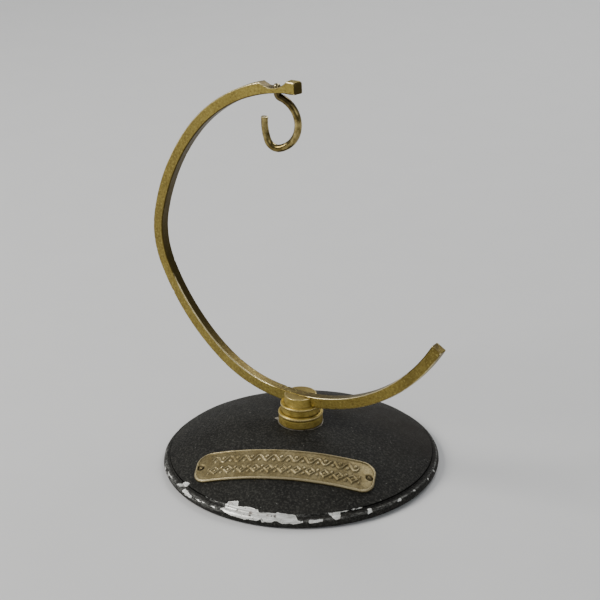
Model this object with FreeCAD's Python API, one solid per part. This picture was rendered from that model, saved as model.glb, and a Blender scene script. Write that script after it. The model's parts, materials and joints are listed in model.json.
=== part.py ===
"""Counter-top display stand: a C-shaped brass arm with a swivel hook, on a domed round base.

The frame: origin on the counter under the hub's axis, +Z up, the arm's plane is XZ,
its open side and free tail towards +X. Millimetres.
"""
import FreeCAD, Part
import math
import os

V = FreeCAD.Vector
Z_AXIS = V(0, 0, 1)

# --- driving dimensions -------------------------------------------------------------------
BASE_DIAMETER = 127.0           # a five inch base
BEAD_RADIUS = 2.35              # the round bead that makes the rim
DOME_RADIUS = 130.0             # the sphere that the top of the base follows
DOME_TOP = 20.9                 # where that sphere would reach on the axis
DOME_EDGE_RADIUS = 60.6         # the crisp edge where the dome steps down to the bead
BEAD_END = 95                   # degrees, where the bead meets that step
BASE_WALL = 3.2
RIM_WIDTH = 7.0                 # the flat ring and bead that stand on the counter, in all

HUB_SEAT_Z = 20.5               # the flat on top of the dome
SEAT_GAP = 0.05                 # the turning hub stands this far off the base
COLLAR_RADIUS = 10.35
COLLAR_TOP_Z = 26.0
COLLAR_BEAD = 0.9               # the radius of the bead round its upper edge
COLLAR_WAIST = 0.3              # its wall stands in this far from the bead
FLANGE_RADIUS = 9.25
FLANGE_TOP_Z = 30.2
FLANGE_BEAD = 0.75
FLANGE_WAIST = 0.55
DRUM_RADIUS = 7.4
DRUM_TOP_Z = 34.2
DRUM_ROUND = 0.35

BAR_THICKNESS = 5.2             # in the plane of the arm
BAR_WIDTH = 4.6                 # across it
BAR_EDGE_ROUND = 0.4
ARM_HUB_Z = 31.95               # the bar's centre line on the hub's axis
ARM_HUB_SLOPE = 2.0             # degrees, up towards the tail
# The arm's centre line is a chain of tangent arcs out of the hub: (radius, degrees turned).
TAIL_ARCS = [(87.5, 57.8)]
NECK_ARCS = [(95.0, 9.9), (61.0, 27.8), (95.5, 29.9), (40.0, 36.9), (102.5, 27.6), (78.0, 47.5)]

WIRE_RADIUS = 1.65              # the hook's wire
HOOK_X = -9.8                   # the axis that the hook turns about
HOOK_YAW = 10.0                 # degrees the hook is stored turned out of the arm's plane
HOOK_BEND_Z = 174.45            # where the straight shank starts to bend
HOOK_NECK = (2.0, 72.0)         # the tight bend under the bar: (radius, degrees)
HOOK_ARCS = [(11.9, 148.0), (4.8, 85.0), (24.8, 24.2)]
HOOK_SEAT_Z = 176.7             # where the hook's riveted head sits, in the scallop
HOOK_HEAD_RADIUS = 1.85
HOOK_HEAD_HEIGHT = 1.9
HOOK_HEAD_ROOM = 0.25           # between the head and the spot face under it
SCALLOP_RADIUS = 11.0           # the hollow filed across the top of the bar
SCALLOP_X = -12.3

PLATE_LENGTH = 80.7
PLATE_WIDTH = 17.9
PLATE_CORNER = 6.3
PLATE_THICKNESS = 1.1
PLATE_BORDER = 0.8              # the raised border's width
PLATE_BORDER_HEIGHT = 0.45
PLATE_TURN = 25.7               # degrees the plate is turned from the arm's plane
PLATE_TILT = 15.9               # degrees down the dome from its top to the plate's middle
PLATE_SHIFT = -1.7              # the plate's middle along its own length
PRISM_REACH = 12.0              # more than the dome falls away under the plate's ends
PIN_SPACING = 76.0
PIN_RADIUS = 0.65
PIN_HEAD_RADIUS = 1.15
PIN_HEAD_HEIGHT = 0.6
PIN_LENGTH = 3.7
PIN_HOLE_SPARE = 0.2            # the base's pin holes are this much deeper than the pins

SPIGOT_RADIUS = 4.0             # the hub's stem, which turns in the base
TURNING_CLEARANCE = 0.06        # on the radius of what turns in a hole
BOSS_RADIUS = 11.0
BOSS_BOTTOM_Z = 9.0
SCREW_RADIUS = 1.75             # a number six machine screw
SCREW_LENGTH = 25.4
SCREW_HEAD_RADIUS = 3.3
SCREW_HEAD_HEIGHT = 2.6
SCREW_HEAD_ROUND = 0.5
SCREW_SLOT = (1.0, 1.2)         # (width, depth)
SCREW_CLEARANCE = 0.12          # on its radius in the hub
TAP_SPARE = 0.4                 # the tapped hole is this much deeper than the screw
WASHER_RADIUS = 6.0
WASHER_THICKNESS = 1.0
WASHER_CLEARANCE = 0.2          # on the screw's radius
SPRING_WASHER_RADIUS = 3.5
SPRING_WASHER_THICKNESS = 1.15
SPLIT_WIDTH = 0.7               # the gap cut through the spring washer
SPLIT_SLANT = 25                # degrees
SPIGOT_SHORT = 0.3              # the stem ends this far inside the boss, so the washers clamp the boss

# --- dimensions that follow from them -----------------------------------------------------
BASE_RADIUS = BASE_DIAMETER / 2
BEAD_CENTRE = (BASE_RADIUS - BEAD_RADIUS, BEAD_RADIUS)
RIM_INNER_RADIUS = BASE_RADIUS - RIM_WIDTH
DOME_CENTRE_Z = DOME_TOP - DOME_RADIUS
HUB_BOTTOM_Z = HUB_SEAT_Z + SEAT_GAP
SPIGOT_BOTTOM_Z = BOSS_BOTTOM_Z + SPIGOT_SHORT
WASHER_TOP_Z = BOSS_BOTTOM_Z - SEAT_GAP
SCREW_SEAT_Z = WASHER_TOP_Z - WASHER_THICKNESS - SPRING_WASHER_THICKNESS
TIGHT_CLEARANCE = 0.02          # between a thread or pin and the piece that holds it


# --- helpers ------------------------------------------------------------------------------
def dome_height(radius, sphere_radius=DOME_RADIUS):
    """The height of the dome, or of a sphere with the same centre, at a radius from the axis."""
    return DOME_CENTRE_Z + math.sqrt(sphere_radius ** 2 - radius ** 2)


def polar(centre, radius, degrees):
    """The point at an angle on a circle in the XZ plane, as (x, z)."""
    angle = math.radians(degrees)
    return (centre[0] + radius * math.cos(angle), centre[1] + radius * math.sin(angle))


def arc_step(centre, radius, start_degrees, end_degrees):
    """An outline step: the middle and end points of an arc."""
    middle = polar(centre, radius, (start_degrees + end_degrees) / 2)
    return (middle, polar(centre, radius, end_degrees))


def outline_face(start, steps):
    """A face in the XZ plane. A step is an end point, or a (middle, end) pair for an arc."""
    edges = []
    here = V(start[0], 0, start[1])
    for step in list(steps) + [start]:
        is_arc = isinstance(step[0], tuple)
        end = step[1] if is_arc else step
        there = V(end[0], 0, end[1])
        if is_arc:
            middle = V(step[0][0], 0, step[0][1])
            edges.append(Part.Arc(here, middle, there).toShape())
        elif here.distanceToPoint(there) > 1e-6:
            edges.append(Part.LineSegment(here, there).toShape())
        here = there
    return Part.Face(Part.Wire(edges))


def turned(start, steps):
    """A solid of revolution about the Z axis."""
    return outline_face(start, steps).revolve(V(0, 0, 0), Z_AXIS, 360)


def ring(inner_radius, outer_radius, bottom_z, height):
    """A plain washer about the Z axis."""
    outer = Part.makeCylinder(outer_radius, height, V(0, 0, bottom_z))
    return outer.cut(Part.makeCylinder(inner_radius, height, V(0, 0, bottom_z)))


def chain(start, heading, arcs, turn):
    """Follow tangent arcs in the XZ plane; turn is +1 anticlockwise, -1 clockwise.

    Gives one (centre, radius, start angle, end angle) for each arc, and the end point.
    """
    pieces = []
    here = start
    for radius, degrees in arcs:
        centre = polar(here, radius, heading + turn * 90)
        first = heading - turn * 90
        last = first + turn * degrees
        pieces.append((centre, radius, first, last))
        here = polar(centre, radius, last)
        heading += turn * degrees
    return pieces, here


# --- the base -----------------------------------------------------------------------------
def base_casting():
    """The hollow domed casting with its bead rim, hub seat, screw boss and pin holes."""
    inner_sphere = DOME_RADIUS - BASE_WALL
    bore = SPIGOT_RADIUS + TURNING_CLEARANCE
    seat_radius = math.sqrt(DOME_RADIUS ** 2 - (HUB_SEAT_Z - DOME_CENTRE_Z) ** 2)
    dome_middle = (DOME_EDGE_RADIUS + seat_radius) / 2
    inner_middle = (RIM_INNER_RADIUS + BOSS_RADIUS) / 2
    casting = turned(
        (RIM_INNER_RADIUS, 0),
        [
            (BEAD_CENTRE[0], 0),
            arc_step(BEAD_CENTRE, BEAD_RADIUS, -90, BEAD_END),
            (DOME_EDGE_RADIUS, dome_height(DOME_EDGE_RADIUS)),
            ((dome_middle, dome_height(dome_middle)), (seat_radius, HUB_SEAT_Z)),
            (bore, HUB_SEAT_Z),
            (bore, BOSS_BOTTOM_Z),
            (BOSS_RADIUS, BOSS_BOTTOM_Z),
            (BOSS_RADIUS, dome_height(BOSS_RADIUS, inner_sphere)),
            (
                (inner_middle, dome_height(inner_middle, inner_sphere)),
                (RIM_INNER_RADIUS, dome_height(RIM_INNER_RADIUS, inner_sphere)),
            ),
        ],
    )
    return casting.cut(pin_shanks(PIN_RADIUS + TIGHT_CLEARANCE, PIN_LENGTH + PIN_HOLE_SPARE))


# --- the nameplate and its pins -----------------------------------------------------------
def plate_frame():
    """The plate's own frame: origin at the dome's centre, X along the plate, Z out through it."""
    tilt = FreeCAD.Rotation(V(1, 0, 0), PLATE_TILT)
    turn = FreeCAD.Rotation(Z_AXIS, PLATE_TURN)
    return FreeCAD.Placement(V(0, 0, DOME_CENTRE_Z), turn * tilt)


def plate_prism(inset):
    """The plate's outline, less an inset all round, as a prism standing through the dome."""
    half_length = PLATE_LENGTH / 2 - inset
    half_width = PLATE_WIDTH / 2 - inset
    corner = V(PLATE_SHIFT - half_length, -half_width, DOME_RADIUS - PRISM_REACH)
    box = Part.makeBox(2 * half_length, 2 * half_width, 2 * PRISM_REACH, corner)
    upright = [e for e in box.Edges if abs(e.tangentAt(e.FirstParameter).z) > 0.99]
    box = box.makeFillet(PLATE_CORNER - inset, upright)
    box.Placement = plate_frame()
    return box


def dome_shell(inner_offset, outer_offset):
    """The part of space between two spheres that stand off the dome."""
    centre = V(0, 0, DOME_CENTRE_Z)
    outer = Part.makeSphere(DOME_RADIUS + outer_offset, centre)
    return outer.cut(Part.makeSphere(DOME_RADIUS + inner_offset, centre))


def nameplate():
    """The brass strip, bent over the dome, with a raised border and two pin holes."""
    whole = plate_prism(0)
    border = whole.cut(plate_prism(PLATE_BORDER))
    strip = dome_shell(0, PLATE_THICKNESS).common(whole)
    raised = dome_shell(PLATE_THICKNESS / 2, PLATE_THICKNESS + PLATE_BORDER_HEIGHT).common(border)
    plate = strip.fuse(raised)
    return plate.cut(pin_shanks(PIN_RADIUS + TIGHT_CLEARANCE, PIN_LENGTH)).removeSplitter()


def pin_axis(side):
    """The point under a pin's head, on the plate's face, and the direction straight out of it."""
    x = PLATE_SHIFT + side * PIN_SPACING / 2
    head_seat = V(x, 0, math.sqrt((DOME_RADIUS + PLATE_THICKNESS) ** 2 - x ** 2))
    outward = head_seat / head_seat.Length
    frame = plate_frame()
    return frame.multVec(head_seat), frame.Rotation.multVec(outward)


def pin_shanks(radius, length):
    """Both pins' shanks, from the top of the plate down, at a given radius and length."""
    shanks = []
    for side in (-1, 1):
        seat, outward = pin_axis(side)
        shanks.append(Part.makeCylinder(radius, length, seat, outward * -1))
    return Part.Compound(shanks)


def nameplate_pins():
    """Two round-headed drive pins."""
    cap_radius = (PIN_HEAD_RADIUS ** 2 + PIN_HEAD_HEIGHT ** 2) / (2 * PIN_HEAD_HEIGHT)
    pins = []
    for side, shank in zip((-1, 1), pin_shanks(PIN_RADIUS, PIN_LENGTH).Solids):
        seat, outward = pin_axis(side)
        ball = Part.makeSphere(cap_radius, seat - outward * (cap_radius - PIN_HEAD_HEIGHT))
        head = ball.common(Part.makeCylinder(2 * PIN_HEAD_RADIUS, 2 * PIN_HEAD_HEIGHT, seat, outward))
        pins.append(head.fuse(shank))
    return Part.Compound(pins)


# --- the hub ------------------------------------------------------------------------------
def foot_collar():
    """The lower ring of the hub, with a beaded upper edge, which turns on the base."""
    centre = (COLLAR_RADIUS - COLLAR_BEAD, COLLAR_TOP_Z - COLLAR_BEAD)
    wall = COLLAR_RADIUS - COLLAR_WAIST
    bead_start = polar(centre, COLLAR_BEAD, -45)
    return turned(
        (SPIGOT_RADIUS + TIGHT_CLEARANCE, HUB_BOTTOM_Z),
        [
            (wall, HUB_BOTTOM_Z),
            (wall, bead_start[1]),
            bead_start,
            arc_step(centre, COLLAR_BEAD, -45, 90),
            (SPIGOT_RADIUS + TIGHT_CLEARANCE, COLLAR_TOP_Z),
        ],
    )


def slotted_post():
    """The upper hub: a stem, a beaded flange and the drum that the arm is let into."""
    centre = (FLANGE_RADIUS - FLANGE_BEAD, FLANGE_TOP_Z - FLANGE_BEAD)
    neck = FLANGE_RADIUS - FLANGE_WAIST
    drum_corner = (DRUM_RADIUS - DRUM_ROUND, DRUM_TOP_Z - DRUM_ROUND)
    bore = SCREW_RADIUS + SCREW_CLEARANCE
    post = turned(
        (bore, SPIGOT_BOTTOM_Z),
        [
            (SPIGOT_RADIUS, SPIGOT_BOTTOM_Z),
            (SPIGOT_RADIUS, COLLAR_TOP_Z),
            (neck, COLLAR_TOP_Z),
            (neck, centre[1] - FLANGE_BEAD),
            polar(centre, FLANGE_BEAD, -60),
            arc_step(centre, FLANGE_BEAD, -60, 90),
            (DRUM_RADIUS, FLANGE_TOP_Z),
            (DRUM_RADIUS, drum_corner[1]),
            arc_step(drum_corner, DRUM_ROUND, 0, 90),
            (bore, DRUM_TOP_Z),
        ],
    )
    above_bar = Part.makeBox(
        4 * DRUM_RADIUS, BAR_WIDTH, 2 * BAR_THICKNESS, V(-2 * DRUM_RADIUS, -BAR_WIDTH / 2, ARM_HUB_Z)
    )
    return post.cut(bar_blank()).cut(above_bar)


# --- the arm ------------------------------------------------------------------------------
def arm_chains():
    """The arcs of the arm's centre line, out of the hub towards the tail and the neck."""
    hub_point = (0, ARM_HUB_Z)
    tail, _ = chain(hub_point, ARM_HUB_SLOPE, TAIL_ARCS, 1)
    neck, _ = chain(hub_point, 180 + ARM_HUB_SLOPE, NECK_ARCS, -1)
    return tail, neck


def bar_edge(offset):
    """The arm's outer or inner edge from the tail's end to the neck's, as outline steps."""
    tail, neck = arm_chains()
    steps = []
    for centre, radius, first, last in reversed(tail):
        edge = radius + offset
        steps.append((polar(centre, edge, last), arc_step(centre, edge, last, first)))
    for centre, radius, first, last in neck:
        edge = radius + offset
        steps.append((polar(centre, edge, first), arc_step(centre, edge, first, last)))
    return steps


def bar_blank():
    """The bent bar with its full square section."""
    outer = bar_edge(BAR_THICKNESS / 2)
    inner = bar_edge(-BAR_THICKNESS / 2)
    forward = [step for _, step in outer]
    back = [inner[-1][1][1]]
    for start, (middle, _) in reversed(inner):
        back.append((middle, start))
    face = outline_face(outer[0][0], forward + back)
    face.translate(V(0, -BAR_WIDTH / 2, 0))
    return face.extrude(V(0, BAR_WIDTH, 0))


def arm_bar():
    """The bent bar: rounded edges, the filed scallop, the hook's hole and the tapped hole."""
    bar = bar_blank()
    long_edges = [e for e in bar.Edges if e.Curve.TypeId == "Part::GeomCircle"]
    bar = bar.makeFillet(BAR_EDGE_ROUND, long_edges)
    scallop = Part.makeCylinder(
        SCALLOP_RADIUS,
        2 * BAR_WIDTH,
        V(SCALLOP_X, -BAR_WIDTH, HOOK_SEAT_Z + SCALLOP_RADIUS - SEAT_GAP),
        V(0, 1, 0),
    )
    spot_radius = HOOK_HEAD_RADIUS + HOOK_HEAD_ROOM
    spot_face = Part.makeCylinder(spot_radius, BAR_THICKNESS, V(HOOK_X, 0, HOOK_SEAT_Z))
    hook_hole = Part.makeCylinder(
        WIRE_RADIUS + TURNING_CLEARANCE, 4 * BAR_THICKNESS, V(HOOK_X, 0, HOOK_SEAT_Z - 2 * BAR_THICKNESS)
    )
    tapped_depth = SCREW_SEAT_Z + SCREW_LENGTH + TAP_SPARE
    tapped_hole = Part.makeCylinder(SCREW_RADIUS + TIGHT_CLEARANCE, tapped_depth)
    for tool in (scallop, spot_face, hook_hole, tapped_hole):
        bar = bar.cut(tool)
    return bar


# --- the hook -----------------------------------------------------------------------------
def swivel_hook():
    """The bent wire hook with its riveted head, one piece that turns in the bar."""
    shank_top = HOOK_SEAT_Z + SEAT_GAP + HOOK_HEAD_HEIGHT / 2
    neck, neck_end = chain((0, HOOK_BEND_Z), -90, [HOOK_NECK], 1)
    bowl, _ = chain(neck_end, -90 + HOOK_NECK[1], HOOK_ARCS, -1)
    edges = [Part.LineSegment(V(0, 0, shank_top), V(0, 0, HOOK_BEND_Z)).toShape()]
    for centre, radius, first, last in neck + bowl:
        points = [polar(centre, radius, a) for a in (first, (first + last) / 2, last)]
        edges.append(Part.Arc(*[V(x, 0, z) for x, z in points]).toShape())
    section = Part.Wire([Part.makeCircle(WIRE_RADIUS, V(0, 0, shank_top), Z_AXIS)])
    wire = Part.Wire(edges).makePipeShell([section], True, True)
    cap_radius = (HOOK_HEAD_RADIUS ** 2 + HOOK_HEAD_HEIGHT ** 2) / (2 * HOOK_HEAD_HEIGHT)
    head_base = V(0, 0, HOOK_SEAT_Z + SEAT_GAP)
    ball = Part.makeSphere(cap_radius, head_base + V(0, 0, HOOK_HEAD_HEIGHT - cap_radius))
    head = ball.common(Part.makeCylinder(2 * HOOK_HEAD_RADIUS, 2 * HOOK_HEAD_HEIGHT, head_base))
    hook = wire.fuse(head).removeSplitter()
    hook.rotate(V(0, 0, 0), Z_AXIS, HOOK_YAW)
    hook.translate(V(HOOK_X, 0, 0))
    return hook


# --- the fastening under the base ---------------------------------------------------------
def clamp_screw():
    """The slotted machine screw that pulls the hub and the arm down onto the base."""
    shank = Part.makeCylinder(SCREW_RADIUS, SCREW_LENGTH, V(0, 0, SCREW_SEAT_Z))
    head_bottom = SCREW_SEAT_Z - SCREW_HEAD_HEIGHT
    head = Part.makeCylinder(SCREW_HEAD_RADIUS, SCREW_HEAD_HEIGHT, V(0, 0, head_bottom))
    lower_edge = [e for e in head.Edges if e.Closed and e.BoundBox.ZMax < head_bottom + 0.01]
    head = head.makeFillet(SCREW_HEAD_ROUND, lower_edge)
    width, depth = SCREW_SLOT
    slot = Part.makeBox(
        4 * SCREW_HEAD_RADIUS, width, depth, V(-2 * SCREW_HEAD_RADIUS, -width / 2, head_bottom)
    )
    return shank.fuse(head).removeSplitter().cut(slot)


def spring_washer():
    """The split lock washer under the screw's head, pressed flat."""
    bore = SCREW_RADIUS + WASHER_CLEARANCE
    washer = ring(bore, SPRING_WASHER_RADIUS, SCREW_SEAT_Z, SPRING_WASHER_THICKNESS)
    gap_height = 4 * SPRING_WASHER_THICKNESS
    middle_z = SCREW_SEAT_Z + SPRING_WASHER_THICKNESS / 2
    gap_corner = V(SCREW_RADIUS / 2, -SPLIT_WIDTH / 2, middle_z - gap_height / 2)
    gap = Part.makeBox(SPRING_WASHER_RADIUS, SPLIT_WIDTH, gap_height, gap_corner)
    gap.rotate(V(0, 0, middle_z), V(1, 0, 0), SPLIT_SLANT)
    return washer.cut(gap)


def plain_washer():
    """The flat washer that bears on the base's boss."""
    bore = SCREW_RADIUS + WASHER_CLEARANCE
    return ring(bore, WASHER_RADIUS, WASHER_TOP_Z - WASHER_THICKNESS, WASHER_THICKNESS)


NODES = [
    base_casting,
    nameplate,
    nameplate_pins,
    foot_collar,
    slotted_post,
    arm_bar,
    swivel_hook,
    clamp_screw,
    spring_washer,
    plain_washer,
]


def main():
    """Write each node's STEP file and say what it holds."""
    os.makedirs("parts", exist_ok=True)
    for make in NODES:
        shape = make()
        name = make.__name__
        shape.exportStep(f"parts/{name}.step")
        box = shape.BoundBox
        print(f"{name}: valid {shape.isValid()}, {len(shape.Solids)} solids, {shape.Volume:.1f} mm3")
        for axis, low, high in (
            ("x", box.XMin, box.XMax), ("y", box.YMin, box.YMax), ("z", box.ZMin, box.ZMax)
        ):
            print(f"  {axis} {low:.2f} to {high:.2f}")


main()
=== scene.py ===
"""The looks of the counter-top display stand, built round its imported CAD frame.

Shapes are worked out in millimetres in the frame's own axes and written to Blender in metres.
"""
import json
import math

import bmesh
import bpy
import numpy as np
from mathutils import Matrix, Vector, noise


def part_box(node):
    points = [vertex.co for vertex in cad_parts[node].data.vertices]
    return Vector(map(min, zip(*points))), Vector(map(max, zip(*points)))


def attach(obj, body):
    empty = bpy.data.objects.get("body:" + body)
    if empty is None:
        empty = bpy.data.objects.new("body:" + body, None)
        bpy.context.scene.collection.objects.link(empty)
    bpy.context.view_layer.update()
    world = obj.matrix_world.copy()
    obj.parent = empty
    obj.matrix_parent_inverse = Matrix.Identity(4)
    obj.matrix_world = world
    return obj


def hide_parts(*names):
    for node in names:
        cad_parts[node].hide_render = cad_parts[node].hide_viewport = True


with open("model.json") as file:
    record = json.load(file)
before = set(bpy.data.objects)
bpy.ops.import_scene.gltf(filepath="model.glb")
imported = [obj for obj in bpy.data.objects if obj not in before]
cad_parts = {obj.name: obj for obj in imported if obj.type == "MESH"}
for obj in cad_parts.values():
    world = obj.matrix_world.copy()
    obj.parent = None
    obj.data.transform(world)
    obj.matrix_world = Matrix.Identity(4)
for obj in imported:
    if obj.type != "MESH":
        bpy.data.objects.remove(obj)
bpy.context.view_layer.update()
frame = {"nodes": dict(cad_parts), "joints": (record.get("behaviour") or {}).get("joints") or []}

MM = 0.001


def node_box(node):
    """A CAD node's lowest and highest corner, in millimetres."""
    low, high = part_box(node)
    return np.array(low) / MM, np.array(high) / MM


# --- sizes read from the frame (millimetres) ---
_, BASE_HIGH = node_box("base_casting")
COLLAR_LOW, COLLAR_HIGH = node_box("foot_collar")
POST_LOW, POST_HIGH = node_box("slotted_post")
ARM_LOW, ARM_HIGH = node_box("arm_bar")

BASE_RADIUS = round(BASE_HIGH[0], 1)
SEAT_Z = BASE_HIGH[2]
COLLAR_RADIUS = COLLAR_HIGH[0]
COLLAR_BOTTOM_Z = COLLAR_LOW[2]
COLLAR_TOP_Z = COLLAR_HIGH[2]
FLANGE_RADIUS = POST_HIGH[1]
DRUM_TOP_Z = POST_HIGH[2]
BAR_WIDTH = ARM_HIGH[1] - ARM_LOW[1]
HOOK_JOINT = next(joint for joint in frame["joints"] if joint["name"] == "hook_swivel")
HOOK_X, _, HOOK_SEAT_Z = np.array(HOOK_JOINT["pos_m"]) / MM

# --- shapes that the boxes don't tell (millimetres and degrees) ---
DOME_RADIUS = 130.0
DOME_CENTRE_Z = 20.9 - DOME_RADIUS
DOME_EDGE_RADIUS = 60.6
BEAD_RADIUS = 2.35
BASE_WALL = 3.2
RIM_INNER_RADIUS = BASE_RADIUS - 7.0
BOSS_RADIUS = 11.0
BOSS_BOTTOM_Z = 9.0
BORE_RADIUS = 4.06
DRUM_RADIUS = 7.4
FLANGE_TOP_Z = 30.2

BAR_THICKNESS = 5.2
ARM_HUB_Z = 31.95
ARM_HUB_SLOPE = 2.0
TAIL_ARCS = [(87.5, 57.8)]
NECK_ARCS = [(95.0, 9.9), (61.0, 27.8), (95.5, 29.9), (40.0, 36.9), (102.5, 27.6), (78.0, 47.5)]
SCALLOP_RADIUS = 11.0
SCALLOP_X = -12.3
FILED_SHARE = 0.985                        # less of the thickness than this is left in the scallop
TIP_SWELL = 0.05                           # how much thicker the tip is, as a share
TIP_DROP = 0.45                            # how far the last 8 mm are bent down
TIP_REACH = 0.32                           # how far the oblique cut reaches past the square one
TIP_SKEW = 0.25                            # its slant across the bar, in mm per mm
ARRIS_ROUND = 0.42
# How light the bar's patina is, 0 to 1, at distances from the tail's end.
ARM_TONES = {0: 0.2, 40: 0.62, 85: 0.75, 130: 0.62, 170: 0.58, 215: 0.5, 260: 0.65, 300: 0.85, 322: 1.0}

WIRE_RADIUS = 1.65
HOOK_YAW = 10.0
HOOK_BEND_Z = 174.45
HOOK_NECK = (2.0, 72.0)
HOOK_ARCS = [(11.9, 148.0), (4.8, 85.0), (24.8, 24.2)]
HOOK_HEAD_RADIUS = 1.6
HOOK_HEAD_SHIFT = -0.15                    # it was hammered over a little to one side
HEAD_RECESS_RADIUS = 1.93                  # the flat under the head, as wide as the CAD's recess

PLATE_LENGTH = 80.7
PLATE_WIDTH = 17.9
PLATE_CORNER = 6.3
PLATE_THICKNESS = 1.1
PLATE_LIP = 0.75
RELIEF = 0.42
PLATE_TURN = 25.7
PLATE_TILT = 15.9
PLATE_SHIFT = -1.7
PIN_SPACING = 76.0
SCROLL_ROW = (3.5, 33.0)                   # the ornament's rows: middle across, half length
LOZENGE_ROW = (-3.1, 34.1)

PAINT_THICKNESS = 0.14


# --- mesh helpers ---
def grid_faces(rows, columns, wrap_rows=False, wrap_columns=True, first=0):
    """Quads over a grid of points stored row after row, the first at a given number."""
    faces = []
    for i in range(rows if wrap_rows else rows - 1):
        above = first + i * columns
        below = first + (i + 1) % rows * columns
        for j in range(columns if wrap_columns else columns - 1):
            k = (j + 1) % columns
            faces.append((above + j, above + k, below + k, below + j))
    return faces


def end_faces(rows, columns):
    """The two faces that close a tube of rings."""
    last = (rows - 1) * columns
    return [tuple(range(columns)), tuple(range(last, last + columns))]


def piece(name, points, faces, **attributes):
    """A smooth mesh object from points in millimetres, with float attributes on its points."""
    mesh = bpy.data.meshes.new(name)
    mesh.from_pydata((np.asarray(points) * MM).tolist(), [], faces)
    shaper = bmesh.new()
    shaper.from_mesh(mesh)
    bmesh.ops.recalc_face_normals(shaper, faces=shaper.faces)
    shaper.to_mesh(mesh)
    shaper.free()
    mesh.polygons.foreach_set("use_smooth", [True] * len(mesh.polygons))
    for key, values in attributes.items():
        layer = mesh.attributes.new(key, "FLOAT", "POINT")
        layer.data.foreach_set("value", np.asarray(values, dtype=np.float32).ravel())
    mesh.update()
    obj = bpy.data.objects.new(name, mesh)
    bpy.context.collection.objects.link(obj)
    return obj


def noise_at(points, grain, seed=0):
    """Smooth noise, about -1 to 1, at points in millimetres; grain is the size of its lumps."""
    shift = Vector((seed * 17.1, seed * 5.3, seed * 9.7))
    return np.array([noise.noise(Vector(p) / grain + shift) for p in points])


def smooth_step(value, low, high):
    """0 below low, 1 above high, and a smooth rise between."""
    t = np.clip((value - low) / (high - low), 0, 1)
    return t * t * (3 - 2 * t)


def polar(centre, radius, degrees):
    """The point at an angle on a circle in a plane."""
    angle = math.radians(degrees)
    return (centre[0] + radius * math.cos(angle), centre[1] + radius * math.sin(angle))


def arc_points(centre, radius, first, last, spacing):
    """Points along an arc, both ends included."""
    count = max(2, int(abs(math.radians(last - first)) * radius / spacing) + 1)
    return [polar(centre, radius, a) for a in np.linspace(first, last, count)]


def divided(corners, spacing):
    """A polyline with points added along its runs."""
    out = [corners[0]]
    for a, b in zip(corners, corners[1:]):
        count = max(1, round(math.dist(a, b) / spacing))
        start, run = np.array(a), np.array(b) - np.array(a)
        out += [tuple(start + run * k / count) for k in range(1, count + 1)]
    return out


def profile_normals(profile, closed):
    """Unit normals, to the left of the direction of travel, of a profile of (r, z) points."""
    if closed:
        along = np.roll(profile, -1, axis=0) - np.roll(profile, 1, axis=0)
    else:
        along = np.gradient(profile, axis=0)
    along /= np.linalg.norm(along, axis=1)[:, None]
    return np.stack([-along[:, 1], along[:, 0]], axis=1)


def full_turn(segments):
    """Even angles round a circle, in radians."""
    return np.linspace(0, 2 * math.pi, segments, endpoint=False)


def revolved(profile, segments):
    """Points of a surface of revolution about Z, row after row, and each point's angle."""
    radius, turn = np.meshgrid(profile[:, 0], full_turn(segments), indexing="ij")
    height = np.repeat(profile[:, 1], segments).reshape(radius.shape)
    points = np.stack([radius * np.cos(turn), radius * np.sin(turn), height], axis=-1)
    return points.reshape(-1, 3), turn.ravel()


def chain_points(start, heading, arcs, turn, spacing):
    """Points and headings (degrees) along tangent arcs; turn is +1 anticlockwise, -1 clockwise."""
    points = []
    headings = []
    here = start
    for radius, degrees in arcs:
        centre = polar(here, radius, heading + turn * 90)
        count = max(2, int(math.radians(degrees) * radius / spacing) + 1)
        for swept in np.linspace(0, degrees, count)[(1 if points else 0):]:
            points.append(polar(centre, radius, heading - turn * 90 + turn * swept))
            headings.append(heading + turn * swept)
        here = points[-1]
        heading += turn * degrees
    return points, headings


# --- the base ---
def dome_height(radius, sphere_radius=DOME_RADIUS):
    """The height of the dome, or of a sphere inside it, at a distance from the axis."""
    return DOME_CENTRE_Z + np.sqrt(sphere_radius ** 2 - np.asarray(radius) ** 2)


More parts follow.
